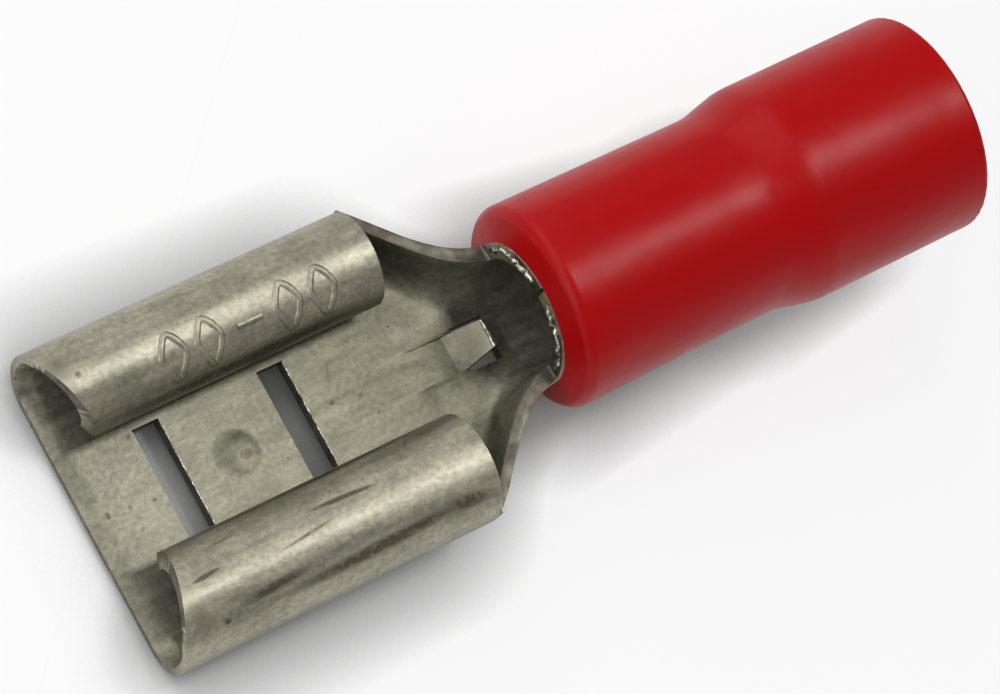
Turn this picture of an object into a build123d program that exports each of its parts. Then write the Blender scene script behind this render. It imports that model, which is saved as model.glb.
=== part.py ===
from build123d import *
import os
from math import atan2, cos, degrees, radians, sin

# Female spade terminal, in millimetres. +X runs from the mouth to the wire end, +Z is up, and
# the origin is the middle of the tab slot's mouth: half way up the tab, on the centre plane.

# The flat tab that the receptacle grips
tab_width = 6.35
tab_thickness = 0.8
side_clearance = 0.225
contact_gap = 0.75

# Sheet and receptacle
sheet = 0.35
receptacle_length = 7.95
corner_radius = 0.75
left_shoulder_radius = 0.93
left_curl_radius = 0.94
right_shoulder_radius = 1.08
right_curl_radius = 1.06
mouth_setback = 0.72
trim_start = 0.4
lead_in_length = 0.45
lead_in_depth = 0.17

# Relief slots and the detent between them
slot_width = 0.65
slot_length = 2.9
first_slot = 2.15
second_slot = 5.28
detent_radius = 0.62
detent_height = 0.12

# Wire barrel, whose underside lies a little below the receptacle's floor
barrel_outer_radius = 1.68
barrel_length = 5.4
barrel_drop = 0.35
barrel_rise = 2.5
seam_gap = 0.08

# Neck between the receptacle and the barrel
neck_length = 2.7
neck_wall_height = 1.45
neck_wall_end = 1.6
neck_blend_radius = 0.1
neck_rim_run = 0.12
neck_rim_lead = 0.03
# Each station's share of the neck's length, of the width still to lose, and of the rounding gained
neck_stations = ((0.0, 1.0, 0.0), (0.2, 0.72, 0.19), (0.42, 0.41, 0.4), (0.72, 0.105, 0.7))

# Tab stop, lanced out of the neck's floor behind a strip that slopes down to its fold
lance_width = 0.9
lance_tip_width = 0.62
lance_clearance = 0.08
lance_depth = 0.18
lance_lead = 0.05
lance_slope = 1.4
lance_run = 0.78
lance_rise = 0.8
window_gap = 0.15
window_length = 0.9

# Insulating sleeve: walls over the barrel, a funnel behind it, and a wider entry
sleeve_set_back = 0.03
sleeve_length = 10.85
sleeve_front_wall = 0.72
sleeve_waist_wall = 0.66
sleeve_rear_wall = 0.52
sleeve_front_lean = 0.22
sleeve_front_rounding = 0.3
sleeve_rear_rounding = 0.12
flare_lag = 0.0
flare_length = 1.4
funnel_ease = 0.06
funnel_length = 1.35
entry_radius = 2.06

# Heights and half-widths that follow from the sizes above
floor_top = -tab_thickness / 2
floor_under = floor_top - sheet
floor_middle = floor_top - sheet / 2
half_width = tab_width / 2 + side_clearance + sheet
wall_middle = half_width - sheet / 2
free_edge_level = floor_top + contact_gap
crest_top = free_edge_level + max(left_curl_radius, right_curl_radius) + sheet / 2
barrel_inner_radius = barrel_outer_radius - sheet
barrel_under = floor_under - barrel_drop
barrel_height = barrel_under + barrel_outer_radius
barrel_top = barrel_height + barrel_outer_radius
above_all = crest_top + barrel_top

# Lead-in round the mouth
mouth_inset = sheet / 2 - lead_in_depth
lead_in_angle = degrees(atan2(lead_in_depth, lead_in_length))

# Places along the terminal
detent_position = (first_slot + second_slot) / 2
detent_curve = (detent_radius**2 + detent_height**2) / (2 * detent_height)
barrel_start = receptacle_length + neck_length
neck_dip_start = neck_stations[2][0]
lance_start = receptacle_length - lance_lead
lance_fold = lance_start + lance_slope
window_start = lance_fold + window_gap
window_end = window_start + window_length

# The sleeve's radii, and places along it from the barrel's front
sleeve_front_radius = barrel_outer_radius + sleeve_front_wall
sleeve_waist_radius = barrel_outer_radius + sleeve_waist_wall
sleeve_rear_radius = entry_radius + sleeve_rear_wall
funnel_radius = barrel_inner_radius + funnel_ease
flare_start = barrel_length + flare_lag
entry_start = barrel_length + funnel_length
sleeve_face = sleeve_set_back + sleeve_front_lean
sleeve_end = sleeve_set_back + sleeve_length

# The barrel's front plane, square to its rising axis, and the plane of its long section
rise = radians(barrel_rise)
barrel_front = Plane(
    origin=(barrel_start, 0, barrel_height),
    x_dir=(0, 1, 0),
    z_dir=(cos(rise), 0, sin(rise)),
)
barrel_section = Plane(
    origin=(barrel_start, 0, barrel_height),
    x_dir=(cos(rise), 0, sin(rise)),
    z_dir=(0, -1, 0),
)
side_view = Plane.XZ


def half_channel(side, shoulder_radius, curl_radius, inset=0.0):
    """Half the receptacle's middle line, drawn in by inset: floor, wall and curl, side 1 or -1."""
    turn = 90 * side
    level = floor_middle + inset
    reach = side * (wall_middle - inset)
    shoulder_level = free_edge_level + curl_radius - shoulder_radius
    floor_line = Line((0, level), (side * (wall_middle - corner_radius), level))
    corner = JernArc(floor_line @ 1, (side, 0), corner_radius - inset, turn)
    wall = Line(corner @ 1, (reach, shoulder_level))
    shoulder = JernArc(wall @ 1, (0, 1), shoulder_radius - inset, turn)
    curl = JernArc(shoulder @ 1, (-side, 0), curl_radius - inset, turn)
    return curl @ 1


def trim_corner(side, shoulder_radius, curl_radius):
    """Plan of the corner cut from a curl's mouth end."""
    outer = side * (half_width - trim_start)
    inner = side * (wall_middle - shoulder_radius - curl_radius - sheet / 2)
    Polygon(
        (-mouth_setback, outer),
        (0, outer),
        (mouth_setback, inner),
        (mouth_setback, 0),
        (-mouth_setback, 0),
        align=None,
    )


def neck_form(inset):
    """Closed form of the neck, from a broad channel to the round barrel, drawn in by inset."""
    outer_corner = corner_radius + sheet / 2
    with BuildPart() as form:
        for along, spread, rounding in neck_stations:
            half = barrel_outer_radius + (half_width - barrel_outer_radius) * spread
            under = floor_under + (barrel_under - floor_under) * max(0, along - neck_dip_start)
            corner = outer_corner + (barrel_outer_radius - outer_corner) * rounding
            station = Plane(
                origin=(receptacle_length + along * neck_length, 0, (barrel_top + under) / 2),
                x_dir=(0, 1, 0),
                z_dir=(1, 0, 0),
            )
            with BuildSketch(station):
                RectangleRounded(
                    2 * (half - inset),
                    barrel_top - under - 2 * inset,
                    corner - inset,
                )
        with BuildSketch(barrel_front):
            Circle(barrel_outer_radius - inset)
        loft()
    return form.part


def tab_stop():
    """The tongue bent up from its fold, narrower at its tip."""
    tip = lance_fold + lance_run
    with BuildPart() as tongue:
        with BuildSketch(side_view):
            with BuildLine():
                FilletPolyline(
                    (lance_fold - sheet, floor_middle - lance_depth),
                    (lance_fold, floor_middle - lance_depth),
                    (tip, floor_middle - lance_depth + lance_rise),
                    radius=sheet / 2,
                )
            trace(line_width=sheet)
        extrude(amount=lance_width / 2, both=True)
        with BuildSketch(Plane.XY.offset(barrel_under)):
            Polygon(
                (lance_start, lance_width / 2),
                (lance_fold, lance_width / 2),
                (tip, lance_tip_width / 2),
                (tip + sheet, lance_tip_width / 2),
                (tip + sheet, -lance_tip_width / 2),
                (tip, -lance_tip_width / 2),
                (lance_fold, -lance_width / 2),
                (lance_start, -lance_width / 2),
                align=None,
            )
        extrude(amount=above_all - barrel_under, mode=Mode.INTERSECT)
    return tongue.part


# One stamped and rolled piece: receptacle, neck, tab stop and barrel
with BuildPart() as terminal:
    with BuildSketch(Plane.YZ):
        with BuildLine():
            half_channel(1, left_shoulder_radius, left_curl_radius)
        trace(line_width=sheet)
        with BuildLine():
            half_channel(-1, right_shoulder_radius, right_curl_radius)
        trace(line_width=sheet)
    extrude(amount=receptacle_length)

    # Curls trimmed at a slant at the mouth, so that the tab finds its way in
    with BuildSketch(Plane.XY):
        trim_corner(1, left_shoulder_radius, left_curl_radius)
        trim_corner(-1, right_shoulder_radius, right_curl_radius)
    extrude(amount=above_all, mode=Mode.SUBTRACT)

    # Lead-in coined round the mouth's inner edge
    with BuildSketch(Plane.YZ):
        with BuildLine():
            left_end = half_channel(1, left_shoulder_radius, left_curl_radius, mouth_inset)
            right_end = half_channel(-1, right_shoulder_radius, right_curl_radius, mouth_inset)
            Line(left_end, right_end)
        make_face()
    extrude(amount=lead_in_length, taper=lead_in_angle, mode=Mode.SUBTRACT)

    # Relief slots on both sides of the detent
    with BuildSketch(Plane.XY.offset(floor_under)):
        with Locations((first_slot, 0), (second_slot, 0)):
            Rectangle(slot_width, slot_length)
    extrude(amount=sheet, mode=Mode.SUBTRACT)

    # Detent: a shallow dome pressed up between the slots, hollow underneath
    for level, mode in ((floor_top, Mode.ADD), (floor_under, Mode.SUBTRACT)):
        with BuildSketch(side_view):
            with BuildLine():
                Line((detent_position, level + detent_height), (detent_position, level))
                Line((detent_position, level), (detent_position + detent_radius, level))
                RadiusArc(
                    (detent_position + detent_radius, level),
                    (detent_position, level + detent_height),
                    -detent_curve,
                )
            make_face()
        revolve(axis=Axis((detent_position, 0, 0), (0, 0, 1)), mode=mode)

    # Neck, its walls sheared low behind the curls and rising to the barrel's front edge
    add(neck_form(0))
    add(neck_form(sheet), mode=Mode.SUBTRACT)
    with BuildSketch(side_view):
        with BuildLine():
            shear = FilletPolyline(
                (receptacle_length, floor_under + neck_wall_height),
                (barrel_start - neck_rim_run, floor_under + neck_wall_end),
                (barrel_start - neck_rim_lead, barrel_top),
                radius=neck_blend_radius,
            )
            Polyline(
                shear @ 1,
                (barrel_start - neck_rim_lead, above_all),
                (receptacle_length, above_all),
                shear @ 0,
            )
        make_face()
    extrude(amount=half_width, both=True, mode=Mode.SUBTRACT)

    # Wire barrel with its butt seam on top
    with BuildSketch(barrel_front):
        Circle(barrel_outer_radius)
        Circle(barrel_inner_radius, mode=Mode.SUBTRACT)
        with Locations((0, barrel_outer_radius)):
            Rectangle(seam_gap, 2 * barrel_inner_radius, mode=Mode.SUBTRACT)
    extrude(amount=barrel_length)

    # Strip pressed down ahead of the tab stop, above and below
    for level, mode in ((floor_under, Mode.ADD), (floor_top, Mode.SUBTRACT)):
        with BuildSketch(side_view):
            Polygon(
                (lance_start, level),
                (lance_fold, level - lance_depth),
                (window_start, level - lance_depth),
                (window_start, level + sheet / 2),
                (lance_start, level + sheet / 2),
                align=None,
            )
        extrude(amount=lance_width / 2, both=True, mode=mode)

    # Window that the tab stop was lanced from, then the stop itself, bent up out of it
    with BuildSketch(Plane.XY.offset(barrel_under)):
        with Locations(((window_start + window_end) / 2, 0)):
            Rectangle(window_end - window_start, lance_width + 2 * lance_clearance)
    extrude(amount=barrel_outer_radius, mode=Mode.SUBTRACT)
    add(tab_stop())

# Insulating sleeve: tight over the barrel, then flared for the wire's insulation
with BuildPart() as sleeve:
    with BuildSketch(barrel_section):
        with BuildLine():
            Line((sleeve_face, sleeve_front_radius), (flare_start, sleeve_waist_radius))
            Spline(
                (flare_start, sleeve_waist_radius),
                (flare_start + flare_length, sleeve_rear_radius),
                tangents=((1, 0), (1, 0)),
            )
            Polyline(
                (flare_start + flare_length, sleeve_rear_radius),
                (sleeve_end, sleeve_rear_radius),
                (sleeve_end, entry_radius),
                (entry_start, entry_radius),
                (barrel_length, funnel_radius),
                (barrel_length, barrel_outer_radius),
                (sleeve_set_back, barrel_outer_radius),
                (sleeve_face, sleeve_front_radius),
            )
        make_face()
        front_corner = vertices().sort_by_distance((sleeve_face, sleeve_front_radius))[0]
        fillet(front_corner, sleeve_front_rounding)
        rear_corner = vertices().sort_by_distance((sleeve_end, sleeve_rear_radius))[0]
        fillet(rear_corner, sleeve_rear_rounding)
    revolve(axis=Axis(barrel_front.origin, barrel_front.z_dir))

terminal.part.label = "terminal_body"
sleeve.part.label = "insulating_sleeve"
os.makedirs("parts", exist_ok=True)
export_step(terminal.part, "parts/terminal_body.step")
export_step(sleeve.part, "parts/insulating_sleeve.step")
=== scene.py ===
import math

import bmesh
import bpy
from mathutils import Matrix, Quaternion, Vector
from mathutils.bvhtree import BVHTree


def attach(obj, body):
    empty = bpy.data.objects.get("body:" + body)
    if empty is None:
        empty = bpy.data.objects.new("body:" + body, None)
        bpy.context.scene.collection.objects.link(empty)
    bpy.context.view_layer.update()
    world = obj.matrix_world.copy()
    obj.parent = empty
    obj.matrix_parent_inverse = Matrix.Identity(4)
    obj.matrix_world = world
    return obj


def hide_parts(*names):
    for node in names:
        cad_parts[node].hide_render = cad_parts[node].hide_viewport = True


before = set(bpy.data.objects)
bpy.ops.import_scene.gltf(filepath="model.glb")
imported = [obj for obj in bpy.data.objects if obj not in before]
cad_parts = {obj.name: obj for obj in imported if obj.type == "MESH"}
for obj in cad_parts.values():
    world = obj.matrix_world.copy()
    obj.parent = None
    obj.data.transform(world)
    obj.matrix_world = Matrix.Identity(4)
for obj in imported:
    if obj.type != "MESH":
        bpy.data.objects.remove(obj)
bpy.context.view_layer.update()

# Sizes and places are in millimetres and turns in degrees, unless a note says otherwise
millimetre = 0.001


def addObject(name, data):
    item = bpy.data.objects.new(name, data)
    bpy.context.scene.collection.objects.link(item)
    return item


def newMaterial(name):
    material = bpy.data.materials.new(name)
    material.use_nodes = True
    return material, material.node_tree.nodes, material.node_tree.links


def addNode(nodes, kind, **inputs):
    node = nodes.new(kind)
    for socket, value in inputs.items():
        node.inputs[socket].default_value = value
    return node


def feed(links, source, socket):
    # A socket, a plain number or a colour goes into the socket given
    if isinstance(source, bpy.types.NodeSocket):
        links.new(source, socket)
    else:
        socket.default_value = source


def mathNode(nodes, links, operation, first, second, clamp=False):
    node = nodes.new("ShaderNodeMath")
    node.operation = operation
    node.use_clamp = clamp
    feed(links, first, node.inputs[0])
    feed(links, second, node.inputs[1])
    return node.outputs[0]


def mixColours(nodes, links, share, first, second, blend="MIX"):
    # Set to colours, the node reads them from its sockets 6 and 7 and gives the mix from 2
    node = nodes.new("ShaderNodeMix")
    node.data_type = "RGBA"
    node.blend_type = blend
    feed(links, share, node.inputs[0])
    feed(links, first, node.inputs[6])
    feed(links, second, node.inputs[7])
    return node.outputs[2]


def mapRange(nodes, links, value, fromRange, toRange=(0.0, 1.0)):
    node = nodes.new("ShaderNodeMapRange")
    node.inputs["From Min"].default_value = fromRange[0]
    node.inputs["From Max"].default_value = fromRange[1]
    node.inputs["To Min"].default_value = toRange[0]
    node.inputs["To Max"].default_value = toRange[1]
    links.new(value, node.inputs["Value"])
    return node.outputs[0]


def millimetreCoords(nodes, links, stretch=(1, 1, 1)):
    coords = nodes.new("ShaderNodeTexCoord")
    mapping = nodes.new("ShaderNodeMapping")
    mapping.inputs["Scale"].default_value = [s / millimetre for s in stretch]
    links.new(coords.outputs["Object"], mapping.inputs["Vector"])
    return mapping.outputs["Vector"]


def noiseAt(nodes, links, place, texture):
    # texture is the noise's scale, detail and roughness
    scale, detail, roughness = texture
    noise = addNode(nodes, "ShaderNodeTexNoise", Scale=scale, Detail=detail, Roughness=roughness)
    links.new(place, noise.inputs["Vector"])
    return noise.outputs["Fac"]


def addBump(nodes, links, height, depth, under=None):
    bump = addNode(nodes, "ShaderNodeBump", Strength=1.0, Distance=depth * millimetre)
    links.new(height, bump.inputs["Height"])
    if under is not None:
        links.new(under, bump.inputs["Normal"])
    return bump.outputs["Normal"]


# The photograph was taken with a long lens, from the mouth side and a little to the right
camera = {
    "place": (-32.85, -14.11, 90.71),
    "aim": (10.118, -0.379, 0.0),
    "roll": 44.99,
    "lens": 167.5,
    "sensor": 36.0,
    "nearest": 1.0,
    "farthest": 10000.0,
}


def placeCamera(settings):
    data = bpy.data.cameras.new("camera")
    data.sensor_width = settings["sensor"]
    data.lens = settings["lens"]
    data.clip_start = settings["nearest"] * millimetre
    data.clip_end = settings["farthest"] * millimetre
    item = addObject("camera", data)
    place = Vector(settings["place"]) * millimetre
    aim = Vector(settings["aim"]) * millimetre
    look = (aim - place).to_track_quat("-Z", "Y")
    roll = Quaternion((0, 0, 1), math.radians(settings["roll"]))
    item.location = place
    item.rotation_mode = "QUATERNION"
    item.rotation_quaternion = look @ roll
    bpy.context.scene.camera = item


# The part rests on its mouth edge and on the sleeve's front, so the floor is tilted to touch both
studio = {
    "mouthContact": (0.0, -0.75),
    "sleeveContact": (10.93, -1.815),
    "floorSize": 8000.0,
    "floorColour": (0.9, 0.9, 0.9, 1.0),
    "floorRoughness": 0.9,
    "floorSpecular": 0.0,
    "floorGlow": 0.7,
    "contactReach": 2.2,
    "contactDepth": 2.5,  # the power that deepens the contact shade
    "contactSamples": 6,
    "worldColour": (1.0, 1.0, 1.0, 1.0),
    "worldLight": 0.24,
}


def makeWorld(settings):
    world = bpy.data.worlds.new("studio")
    bpy.context.scene.world = world
    world.use_nodes = True
    background = world.node_tree.nodes["Background"]
    background.inputs["Color"].default_value = settings["worldColour"]
    background.inputs["Strength"].default_value = settings["worldLight"]


def makePaleFloor(settings):
    material, nodes, links = newMaterial("paleFloor")
    shader = nodes["Principled BSDF"]
    shader.inputs["Base Color"].default_value = settings["floorColour"]
    shader.inputs["Roughness"].default_value = settings["floorRoughness"]
    shader.inputs["Specular IOR Level"].default_value = settings["floorSpecular"]
    # White to the eye and in reflections through a glow, with painted contact shade where the
    # part stands close over it
    contact = nodes.new("ShaderNodeAmbientOcclusion")
    contact.samples = settings["contactSamples"]
    contact.inputs["Distance"].default_value = settings["contactReach"] * millimetre
    glow = nodes.new("ShaderNodeEmission")
    shade = mathNode(nodes, links, "POWER", contact.outputs["AO"], settings["contactDepth"])
    links.new(shade, glow.inputs["Strength"])
    rays = nodes.new("ShaderNodeLightPath").outputs
    seen = mathNode(nodes, links, "MAXIMUM", rays["Is Camera Ray"], rays["Is Glossy Ray"])
    seen = mathNode(nodes, links, "MAXIMUM", seen, rays["Is Transmission Ray"])
    share = mathNode(nodes, links, "MULTIPLY", seen, settings["floorGlow"])
    blend = nodes.new("ShaderNodeMixShader")
    links.new(share, blend.inputs[0])
    links.new(shader.outputs[0], blend.inputs[1])
    links.new(glow.outputs[0], blend.inputs[2])
    links.new(blend.outputs[0], nodes["Material Output"].inputs["Surface"])
    return material


def makeFloor(settings):
    mouthX, mouthZ = settings["mouthContact"]
    sleeveX, sleeveZ = settings["sleeveContact"]
    slope = (sleeveZ - mouthZ) / (sleeveX - mouthX)
    half = settings["floorSize"] / 2
    corners = []
    for x, y in ((-half, -half), (half, -half), (half, half), (-half, half)):
        corners.append(Vector((x, y, mouthZ + slope * (x - mouthX))) * millimetre)
    mesh = bpy.data.meshes.new("floor")
    mesh.from_pydata(corners, [], [(0, 1, 2, 3)])
    mesh.materials.append(makePaleFloor(settings))
    addObject("floor", mesh)


# Each lamp: azimuth from +X, elevation, distance, side of its square and power in watts
lamps = {
    "key": (0.0, 65.0, 160.0, 36.0, 0.096),
    "leftFill": (110.0, 50.0, 170.0, 140.0, 0.085),
    "leftLow": (85.0, 25.0, 170.0, 90.0, 0.03),
    "mouthFill": (168.0, 46.0, 170.0, 140.0, 0.066),
    "mouthLow": (188.0, 26.0, 170.0, 80.0, 0.05),
    "rightLow": (292.0, 14.0, 170.0, 110.0, 0.008),
}


def makeLamps(table, aimedAt):
    aim = Vector(aimedAt) * millimetre
    for name, (azimuth, elevation, distance, side, power) in table.items():
        data = bpy.data.lights.new(name, "AREA")
        data.shape = "SQUARE"
        data.size = side * millimetre
        data.energy = power
        lamp = addObject(name, data)
        turn = math.radians(azimuth)
        rise = math.radians(elevation)
        way = Vector((
            math.cos(rise) * math.cos(turn),
            math.cos(rise) * math.sin(turn),
            math.sin(rise),
        ))
        lamp.location = aim + way * distance * millimetre
        lamp.rotation_euler = way.to_track_quat("Z", "Y").to_euler()


# A noise is given by its scale, detail and roughness, and a range by its two ends
tinPlate = {
    "darkTone": (0.30, 0.29, 0.222, 1.0),
    "paleTone": (0.42, 0.40, 0.305, 1.0),
    "metallic": 0.85,
    "roughness": (0.40, 0.56),
    "roughRange": (0.3, 0.7),
    "mottle": (0.9, 5.0, 0.6),
    "streak": (1.0, 4.0, 0.6),
    "streakStretch": (0.4, 3.2, 3.2),
    "cloudRange": (0.85, 1.15),
    "grain": (7.5, 4.0, 0.65),
    "grainRange": (0.3, 0.7),
    "grainDepth": 0.006,
    "grainTone": 0.24,
    # Painted shade low in the channel: its tint, where it grows along X, where it fades ahead of
    # the barrel, and how it fades with height
    "channelShadeTint": (0.42, 0.43, 0.40, 1.0),
    "channelShadeAlong": (0.2, 7.0),
    "channelShadeAlongShare": (0.45, 1.0),
    "channelShadeEnd": (9.0, 10.2),
    "channelShadeEndShare": (1.0, 0.25),
    "channelShadeHeight": (-0.1, 0.8),
    "channelShadeHeightShare": (1.0, 0.0),
    # Tone and strength of the stains and of the painted shade listed with them
    "stainAndShadeTone": (0.085, 0.068, 0.042, 1.0),
    "stainAndShadeGain": 2.2,
    "stainAndShadeShare": 0.85,
    "tornRange": (0.36, 0.6),
    "tornShare": (0.25, 1.0),
    "pitTone": (0.03, 0.027, 0.02, 1.0),
    "pitScale": 2.6,
    "pitSize": 0.085,
    "pitShare": 0.3,
}

# Stains and pits that the plating shows, and painted shade along the curls' free edges and beside
# the strip ahead of the tab stop: centre and radii, turn about Z, strength
stainsAndShade = (
    ((4.9, -3.3, 1.25), (2.6, 0.16, 0.4), 1.5, 1.1),
    ((2.3, -3.1, 1.35), (1.0, 0.14, 0.4), 3.0, 1.0),
    ((7.1, -3.25, 1.25), (0.8, 0.2, 0.4), -6.0, 0.9),
    ((4.5, -2.05, 1.5), (0.9, 0.07, 0.3), -3.0, 1.7),
    ((3.4, -2.45, 1.55), (0.9, 0.05, 0.3), 6.0, 0.9),
    # Painted shadow along the right curl's free edge
    ((4.3, -1.36, 0.85), (4.4, 0.06, 0.4), 0.0, 1.1),
    ((7.1, -1.5, 1.1), (0.8, 0.25, 0.4), 0.0, 0.45),
    ((1.0, -2.3, 1.5), (0.42, 0.07, 0.4), 4.0, 1.7),
    ((1.05, -3.3, 1.25), (0.12, 0.09, 0.12), 0.0, 0.9),
    ((1.7, -1.75, 1.3), (0.5, 0.04, 0.3), 2.0, 0.5),
    ((6.54, -1.54, 1.13), (0.18, 0.06, 0.15), 30.0, 0.8),
    ((0.66, 2.66, 1.46), (0.1, 0.1, 0.1), 0.0, 0.9),
    ((0.45, 0.0, -0.42), (0.08, 0.12, 0.1), 0.0, 0.9),
    ((0.97, -0.02, -0.4), (0.07, 0.07, 0.1), 0.0, 0.8),
    ((1.54, -0.11, -0.4), (0.09, 0.06, 0.1), 0.0, 0.8),
    ((1.68, 1.35, -0.4), (0.09, 0.09, 0.1), 0.0, 0.8),
    ((3.82, -0.08, -0.28), (0.2, 0.14, 0.12), 0.0, 1.5),
    ((6.17, 0.15, -0.4), (0.1, 0.08, 0.1), 0.0, 0.9),
    ((6.85, 0.03, -0.4), (0.14, 0.07, 0.1), 20.0, 0.9),
    ((6.4, 0.75, -0.4), (0.05, 0.4, 0.1), -25.0, 0.5),
    ((0.35, 3.0, 1.35), (0.35, 0.8, 0.25), 0.0, 0.35),
    ((0.5, -2.9, 1.45), (0.3, 0.7, 0.25), 0.0, 0.35),
    # Painted shade along the left curl's free edge, where it turns under
    ((4.7, 1.6, 0.7), (4.0, 0.12, 0.35), 0.0, 0.9),
    ((9.65, 0.0, -0.1), (0.55, 0.6, 0.5), 0.0, 0.32),
    # Painted shade along both sheared sides of the strip ahead of the tab stop
    ((9.2, 0.48, -0.4), (0.9, 0.06, 0.25), 0.0, 0.6),
    ((8.9, -0.52, -0.4), (0.7, 0.05, 0.25), 0.0, 0.4),
    ((0.3, -1.55, 0.9), (0.9, 0.5, 0.2), 0.0, 0.3),
)


def softBlob(nodes, links, place, centre, radii, turn):
    # 1 at the centre and 0 at the rim of a turned ellipsoid
    mapping = nodes.new("ShaderNodeMapping")
    mapping.vector_type = "TEXTURE"
    mapping.inputs["Location"].default_value = centre
    mapping.inputs["Rotation"].default_value = (0, 0, math.radians(turn))
    mapping.inputs["Scale"].default_value = radii
    links.new(place, mapping.inputs["Vector"])
    ball = nodes.new("ShaderNodeTexGradient")
    ball.gradient_type = "SPHERICAL"
    links.new(mapping.outputs["Vector"], ball.inputs["Vector"])
    return ball.outputs["Fac"]


def paintedChannelShade(nodes, links, place, settings):
    # Painted shade, greatest low down in the channel towards the neck, and less again ahead of
    # the barrel
    axes = nodes.new("ShaderNodeSeparateXYZ")
    links.new(place, axes.inputs[0])
    x, z = axes.outputs["X"], axes.outputs["Z"]
    along = mapRange(nodes, links, x, settings["channelShadeAlong"], settings["channelShadeAlongShare"])
    low = mapRange(nodes, links, z, settings["channelShadeHeight"], settings["channelShadeHeightShare"])
    ahead = mapRange(nodes, links, x, settings["channelShadeEnd"], settings["channelShadeEndShare"])
    channelShade = mathNode(nodes, links, "MULTIPLY", along, low)
    return mathNode(nodes, links, "MULTIPLY", channelShade, ahead)


def paintStainsAndShade(nodes, links, place, grain, settings, marks):
    # Stains and painted shade in fixed places, broken up by the grain
    total = None
    for centre, radii, turn, strength in marks:
        blob = softBlob(nodes, links, place, centre, radii, turn)
        blob = mathNode(nodes, links, "MULTIPLY", blob, strength * settings["stainAndShadeGain"])
        total = blob if total is None else mathNode(nodes, links, "MAXIMUM", total, blob)
    torn = mapRange(nodes, links, grain, settings["tornRange"], settings["tornShare"])
    stainAndShadeMask = mathNode(nodes, links, "MULTIPLY", total, torn, clamp=True)
    return mathNode(nodes, links, "MULTIPLY", stainAndShadeMask, settings["stainAndShadeShare"])


def pitting(nodes, links, place, settings):
    # Small pits of uneven strength in a share of the cells
    cells = addNode(nodes, "ShaderNodeTexVoronoi", Scale=settings["pitScale"])
    links.new(place, cells.inputs["Vector"])
    chance = nodes.new("ShaderNodeSeparateColor")
    links.new(cells.outputs["Color"], chance.inputs[0])
    chosen = mathNode(nodes, links, "LESS_THAN", chance.outputs[0], settings["pitShare"])
    rimToFull = (settings["pitSize"], settings["pitSize"] / 2)
    pit = mapRange(nodes, links, cells.outputs["Distance"], rimToFull)
    pit = mathNode(nodes, links, "MULTIPLY", pit, chosen)
    return mathNode(nodes, links, "MULTIPLY", pit, chance.outputs[1])


def makeTinPlate(settings, marks):
    material, nodes, links = newMaterial("tinPlate")
    shader = nodes["Principled BSDF"]
    shader.inputs["Metallic"].default_value = settings["metallic"]
    place = millimetreCoords(nodes, links)
    stretched = millimetreCoords(nodes, links, settings["streakStretch"])
    mottle = noiseAt(nodes, links, place, settings["mottle"])
    streak = noiseAt(nodes, links, stretched, settings["streak"])
    grain = noiseAt(nodes, links, place, settings["grain"])
    # Cloudy and streaked plating with a fine grain
    cloud = mathNode(nodes, links, "ADD", mottle, streak)
    tone = mapRange(nodes, links, cloud, settings["cloudRange"])
    colour = mixColours(nodes, links, tone, settings["darkTone"], settings["paleTone"])
    swing = settings["grainTone"]
    grainShade = mapRange(nodes, links, grain, settings["grainRange"], (1 - swing, 1 + swing))
    colour = mixColours(nodes, links, 1.0, colour, grainShade, "MULTIPLY")
    # Painted shade darkens the plating low in the channel towards the neck
    channelShade = paintedChannelShade(nodes, links, place, settings)
    channelShadedColour = mixColours(nodes, links, 1.0, colour, settings["channelShadeTint"], "MULTIPLY")
    colour = mixColours(nodes, links, channelShade, colour, channelShadedColour)
    # Stains and painted shade darken the plating in fixed places
    stainAndShadeMask = paintStainsAndShade(nodes, links, place, grain, settings, marks)
    colour = mixColours(nodes, links, stainAndShadeMask, colour, settings["stainAndShadeTone"])
    pit = pitting(nodes, links, place, settings)
    colour = mixColours(nodes, links, pit, colour, settings["pitTone"])
    links.new(colour, shader.inputs["Base Color"])
    rough = mapRange(nodes, links, streak, settings["roughRange"], settings["roughness"])
    links.new(rough, shader.inputs["Roughness"])
    links.new(addBump(nodes, links, grain, settings["grainDepth"]), shader.inputs["Normal"])
    return material


# The sheared faces, and the bright torn metal along their edges
cutBrass = {
    "darkTone": (0.095, 0.08, 0.06, 1.0),
    "paleTone": (0.165, 0.155, 0.125, 1.0),
    "metallic": 0.9,
    "roughness": 0.5,
    "smear": (3.0, 4.0, 0.5),
    "smearRange": (0.4, 0.6),
}

bareBurr = {
    "darkTone": (0.2, 0.19, 0.15, 1.0),
    "paleTone": (0.72, 0.70, 0.60, 1.0),
    "metallic": 1.0,
    "roughness": 0.34,
    "smear": (5.0, 2.0, 0.5),
    "smearRange": (0.42, 0.58),
}


def makeBareMetal(name, settings):
    material, nodes, links = newMaterial(name)
    shader = nodes["Principled BSDF"]
    shader.inputs["Metallic"].default_value = settings["metallic"]
    shader.inputs["Roughness"].default_value = settings["roughness"]
    smear = noiseAt(nodes, links, millimetreCoords(nodes, links), settings["smear"])
    share = mapRange(nodes, links, smear, settings["smearRange"])
    colour = mixColours(nodes, links, share, settings["darkTone"], settings["paleTone"])
    links.new(colour, shader.inputs["Base Color"])
    return material


redVinyl = {
    "tone": (0.40, 0.0006, 0.002, 1.0),
    "deepTone": (0.345, 0.0004, 0.0015, 1.0),
    "roughness": (0.33, 0.41),
    "roughRange": (0.3, 0.7),
    "specular": 0.17,
    "ripple": (0.7, 2.0, 0.5),
    "rippleDepth": 0.04,
    "grain": (11.0, 3.0, 0.5),
    "grainDepth": 0.0022,
}


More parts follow.
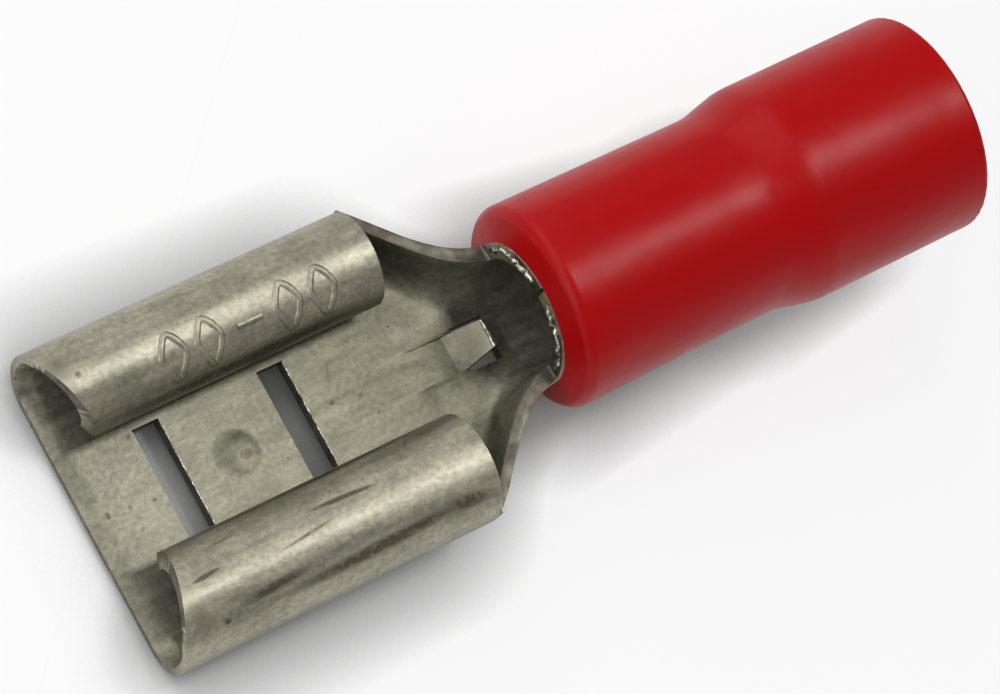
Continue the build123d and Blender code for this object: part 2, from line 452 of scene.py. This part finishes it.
def makeRedVinyl(settings):
    material, nodes, links = newMaterial("redVinyl")
    shader = nodes["Principled BSDF"]
    shader.inputs["Specular IOR Level"].default_value = settings["specular"]
    place = millimetreCoords(nodes, links)
    ripple = noiseAt(nodes, links, place, settings["ripple"])
    grain = noiseAt(nodes, links, place, settings["grain"])
    colour = mixColours(nodes, links, ripple, settings["tone"], settings["deepTone"])
    links.new(colour, shader.inputs["Base Color"])
    rough = mapRange(nodes, links, ripple, settings["roughRange"], settings["roughness"])
    links.new(rough, shader.inputs["Roughness"])
    wave = addBump(nodes, links, ripple, settings["rippleDepth"])
    links.new(addBump(nodes, links, grain, settings["grainDepth"], wave), shader.inputs["Normal"])
    return material


ridge = {
    "ringPoints": 12,
}


def makeRidgeTree(settings):
    # A ridge that follows a path, with a thickness that varies and a line that wanders
    tree = bpy.data.node_groups.new("ridge along a path", "GeometryNodeTree")
    face = tree.interface
    face.new_socket(name="Path", in_out="INPUT", socket_type="NodeSocketGeometry")
    for name in ("Spacing", "Thickness", "Ragged", "Wander"):
        face.new_socket(name=name, in_out="INPUT", socket_type="NodeSocketFloat")
    face.new_socket(name="Seed", in_out="INPUT", socket_type="NodeSocketInt")
    face.new_socket(name="Finish", in_out="INPUT", socket_type="NodeSocketMaterial")
    face.new_socket(name="Ridge", in_out="OUTPUT", socket_type="NodeSocketGeometry")
    nodes, links = tree.nodes, tree.links
    given = nodes.new("NodeGroupInput").outputs
    curve = nodes.new("GeometryNodeMeshToCurve")
    links.new(given["Path"], curve.inputs[0])
    points = nodes.new("GeometryNodeResampleCurve")
    points.mode = "LENGTH"
    links.new(curve.outputs[0], points.inputs["Curve"])
    links.new(given["Spacing"], points.inputs["Length"])
    # Each point drifts by up to Wander along each axis
    drift = nodes.new("FunctionNodeRandomValue")
    drift.data_type = "FLOAT_VECTOR"
    back = mathNode(nodes, links, "MULTIPLY", given["Wander"], -1.0)
    links.new(back, drift.inputs[0])
    links.new(given["Wander"], drift.inputs[1])
    links.new(given["Seed"], drift.inputs["Seed"])
    moved = nodes.new("GeometryNodeSetPosition")
    links.new(points.outputs[0], moved.inputs["Geometry"])
    links.new(drift.outputs[0], moved.inputs["Offset"])
    # Its thickness lies between 1 less Ragged and 1 times Thickness
    swell = nodes.new("FunctionNodeRandomValue")
    swell.data_type = "FLOAT"
    thinnest = mathNode(nodes, links, "SUBTRACT", 1.0, given["Ragged"])
    links.new(thinnest, swell.inputs[2])
    swell.inputs[3].default_value = 1.0
    links.new(given["Seed"], swell.inputs["Seed"])
    ring = nodes.new("GeometryNodeCurvePrimitiveCircle")
    ring.inputs["Resolution"].default_value = settings["ringPoints"]
    links.new(given["Thickness"], ring.inputs["Radius"])
    tube = nodes.new("GeometryNodeCurveToMesh")
    tube.inputs["Fill Caps"].default_value = True
    links.new(moved.outputs[0], tube.inputs["Curve"])
    links.new(ring.outputs[0], tube.inputs["Profile Curve"])
    links.new(swell.outputs[1], tube.inputs["Scale"])
    real = nodes.new("GeometryNodeRealizeInstances")
    links.new(tube.outputs[0], real.inputs[0])
    finish = nodes.new("GeometryNodeSetMaterial")
    links.new(real.outputs[0], finish.inputs["Geometry"])
    links.new(given["Finish"], finish.inputs["Material"])
    links.new(finish.outputs[0], nodes.new("NodeGroupOutput").inputs[0])
    return tree


def ridgeMesh(tree, name, path, closed, settings, finish):
    # path is a list of points in metres
    edges = [(i, i + 1) for i in range(len(path) - 1)]
    if closed:
        edges.append((len(path) - 1, 0))
    mesh = bpy.data.meshes.new(name)
    mesh.from_pydata(path, edges, [])
    item = addObject(name, mesh)
    modifier = item.modifiers.new("ridge", "NODES")
    modifier.node_group = tree
    inputs = {
        "Spacing": settings["spacing"] * millimetre,
        "Thickness": settings["thickness"] * millimetre,
        "Ragged": settings["ragged"],
        "Wander": settings["wander"] * millimetre,
        "Seed": settings["seed"],
        "Finish": finish,
    }
    sockets = {s.name: s.identifier for s in tree.interface.items_tree if s.in_out == "INPUT"}
    for key, value in inputs.items():
        modifier[sockets[key]] = value
    depsgraph = bpy.context.evaluated_depsgraph_get()
    result = bpy.data.meshes.new_from_object(item.evaluated_get(depsgraph))
    bpy.data.objects.remove(item)
    return result


# Raised marks stamped on the left curl, in plan: a generic row of rounded lozenges with a dash
curlMarks = {
    "places": (2.78, 3.66, 4.66, 5.62, 6.5),
    "forms": ("lozenge", "lozenge", "dash", "lozenge", "lozenge"),
    "middle": 2.2,
    "length": 0.30,
    "reach": 0.48,
    "roundness": 1.3,
    "steps": 24,
    "castFrom": 5.0,
    "sunk": 0.065,
    "spacing": 0.06,
    "thickness": 0.11,
    "ragged": 0.12,
    "wander": 0.0,
    "seed": 1,
}


def markOutline(form, settings):
    # Plan of one mark round its own middle
    length, reach = settings["length"], settings["reach"]
    if form == "dash":
        return [(-length, 0), (length, 0)], False
    power = settings["roundness"]
    outline = []
    for i in range(settings["steps"]):
        turn = 2 * math.pi * i / settings["steps"]
        size = abs(math.cos(turn)) ** power + abs(math.sin(turn)) ** power
        size = size ** (-1 / power)
        outline.append((length * size * math.cos(turn), reach * size * math.sin(turn)))
    return outline, True


def densePath(points, closed, step):
    ends = points + points[:1] if closed else points
    path = []
    for (x0, y0), (x1, y1) in zip(ends, ends[1:]):
        count = max(1, round(math.hypot(x1 - x0, y1 - y0) / step))
        path += [(x0 + (x1 - x0) * i / count, y0 + (y1 - y0) * i / count) for i in range(count)]
    return path if closed else path + [ends[-1]]


def makeCurlMarks(settings, tree, skin, finish):
    # Each outline is laid on the curl from above, with its ridge partly sunk in the metal
    meshes = []
    above = settings["castFrom"] * millimetre
    down = Vector((0, 0, -1))
    for x, form in zip(settings["places"], settings["forms"]):
        outline, closed = markOutline(form, settings)
        path = []
        for dx, dy in densePath(outline, closed, settings["spacing"]):
            start = Vector(((x + dx) * millimetre, (settings["middle"] + dy) * millimetre, above))
            hit, normal = skin.ray_cast(start, down)[:2]
            path.append(hit - normal * settings["sunk"] * millimetre)
        meshes.append(ridgeMesh(tree, form, path, closed, settings, finish))
    return meshes


# Burrs left by shearing: the two ends, thickness, how ragged it is from 0 to 1, wander, seed
burrLines = {
    "tabStopTip": (((9.95, -0.32, 0.16), (9.95, 0.32, 0.16)), 0.055, 0.6, 0.02, 3),
    "mouthFront": (((0.035, -2.9, -0.585), (0.035, 2.9, -0.585)), 0.02, 0.55, 0.008, 9),
    "frontSlotRear": (((2.475, -1.42, -0.40), (2.475, 1.42, -0.40)), 0.018, 0.5, 0.01, 5),
    "rearSlotRear": (((5.605, -1.42, -0.40), (5.605, 1.42, -0.40)), 0.018, 0.5, 0.01, 7),
}
burrSpacing = 2  # thicknesses between the points of a burr


def makeBurrs(table, tree, finish):
    meshes = []
    for name, (points, thickness, ragged, wander, seed) in table.items():
        path = [Vector(point) * millimetre for point in points]
        meshes.append(ridgeMesh(tree, name, path, False, {
            "spacing": thickness * burrSpacing,
            "thickness": thickness,
            "ragged": ragged,
            "wander": wander,
            "seed": seed,
        }, finish))
    return meshes


# The torn rim of the barrel's front, in two arcs that leave out the seam
barrelRim = {
    "centre": (10.615, 0.0, 0.58),
    "radius": 1.54,
    "lean": 2.5,
    "arcs": ((-82.0, -12.0), (9.0, 82.0)),
    "steps": 40,
    "spacing": 0.09,
    "thickness": 0.085,
    "ragged": 0.75,
    "wander": 0.045,
    "seed": 11,
}


def makeBarrelRim(settings, tree, finish):
    meshes = []
    centre = Vector(settings["centre"])
    slope = math.tan(math.radians(settings["lean"]))
    for first, last in settings["arcs"]:
        path = []
        for i in range(settings["steps"] + 1):
            turn = math.radians(first + (last - first) * i / settings["steps"])
            side = settings["radius"] * math.sin(turn)
            up = settings["radius"] * math.cos(turn)
            path.append((centre + Vector((-slope * up, side, up))) * millimetre)
        meshes.append(ridgeMesh(tree, "rim", path, False, settings, finish))
    return meshes


def copyOfNode(name, weld):
    # The node's loose triangles, joined into one closed skin
    mesh = bpy.data.objects[name].data.copy()
    mesh.materials.clear()
    copy = addObject(name + "Dressed", mesh)
    shape = bmesh.new()
    shape.from_mesh(mesh)
    bmesh.ops.remove_doubles(shape, verts=shape.verts, dist=weld * millimetre)
    bmesh.ops.dissolve_degenerate(shape, edges=shape.edges, dist=weld * millimetre)
    shape.normal_update()
    return copy, shape


def evenShading(item):
    even = item.modifiers.new("even shading", "WEIGHTED_NORMAL")
    even.keep_sharp = True


terminalMesh = {
    "weld": 0.0005,
    "flatAngle": 0.6,
    "edgeWidth": 0.03,
    "edgeAngle": 32.0,
    "edgeSegments": 2,
    "sheet": 0.35,
    "sheetReach": 1.5,  # a face with metal deeper than this many sheets behind it is a cut one
    "insideStep": 0.001,
}

# The terminal's material slots, in the order of its finishes
plateSlot, cutSlot, burrSlot = range(3)


def markCutFaces(shape, skin, settings):
    reach = settings["sheet"] * settings["sheetReach"] * millimetre
    step = settings["insideStep"] * millimetre
    for face in shape.faces:
        inside = face.calc_center_median() - face.normal * step
        depth = skin.ray_cast(inside, -face.normal)[3]
        face.material_index = plateSlot if depth is not None and depth < reach else cutSlot


def joinMeshes(shape, meshes, slotIndex):
    for mesh in meshes:
        known = len(shape.faces)
        shape.from_mesh(mesh)
        shape.faces.ensure_lookup_table()
        for face in shape.faces[known:]:
            face.material_index = slotIndex
        bpy.data.meshes.remove(mesh)


def makeTerminal(settings, finishes):
    terminal, shape = copyOfNode("terminal_body", settings["weld"])
    skin = BVHTree.FromBMesh(shape)
    markCutFaces(shape, skin, settings)
    bmesh.ops.dissolve_limit(
        shape,
        angle_limit=math.radians(settings["flatAngle"]),
        verts=shape.verts,
        edges=shape.edges,
        delimit={"MATERIAL"},
    )
    wornAngle = math.radians(settings["edgeAngle"])
    worn = shape.edges.layers.float.new("bevel_weight_edge")
    for edge in shape.edges:
        if len(edge.link_faces) == 2 and edge.calc_face_angle() > wornAngle:
            edge[worn] = 1.0
    # Marks and burrs are part of the same metal, so their meshes join the terminal's
    tree = makeRidgeTree(ridge)
    joinMeshes(shape, makeCurlMarks(curlMarks, tree, skin, finishes[plateSlot]), plateSlot)
    joinMeshes(shape, makeBurrs(burrLines, tree, finishes[burrSlot]), burrSlot)
    joinMeshes(shape, makeBarrelRim(barrelRim, tree, finishes[burrSlot]), burrSlot)
    for face in shape.faces:
        face.smooth = True
    shape.to_mesh(terminal.data)
    shape.free()
    for finish in finishes:
        terminal.data.materials.append(finish)
    bevel = terminal.modifiers.new("worn edges", "BEVEL")
    bevel.width = settings["edgeWidth"] * millimetre
    bevel.segments = settings["edgeSegments"]
    bevel.limit_method = "WEIGHT"
    evenShading(terminal)
    return terminal


sleeveMesh = {
    "weld": 0.0005,
    "edgeAngle": 40.0,
}


def makeSleeve(settings, finish):
    sleeve, shape = copyOfNode("insulating_sleeve", settings["weld"])
    sharpAngle = math.radians(settings["edgeAngle"])
    for face in shape.faces:
        face.smooth = True
    for edge in shape.edges:
        edge.smooth = len(edge.link_faces) == 2 and edge.calc_face_angle() < sharpAngle
    shape.to_mesh(sleeve.data)
    shape.free()
    sleeve.data.materials.append(finish)
    evenShading(sleeve)
    return sleeve


print("stage: camera, floor and lamps")
placeCamera(camera)
makeWorld(studio)
makeFloor(studio)
makeLamps(lamps, camera["aim"])
bpy.context.scene.view_settings.view_transform = "Standard"

print("stage: terminal")
finishes = [
    makeTinPlate(tinPlate, stainsAndShade),
    makeBareMetal("cutBrass", cutBrass),
    makeBareMetal("bareBurr", bareBurr),
]
terminal = makeTerminal(terminalMesh, finishes)
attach(terminal, "root")
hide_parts("terminal_body")

print("stage: sleeve")
sleeve = makeSleeve(sleeveMesh, makeRedVinyl(redVinyl))
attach(sleeve, "root")
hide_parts("insulating_sleeve")
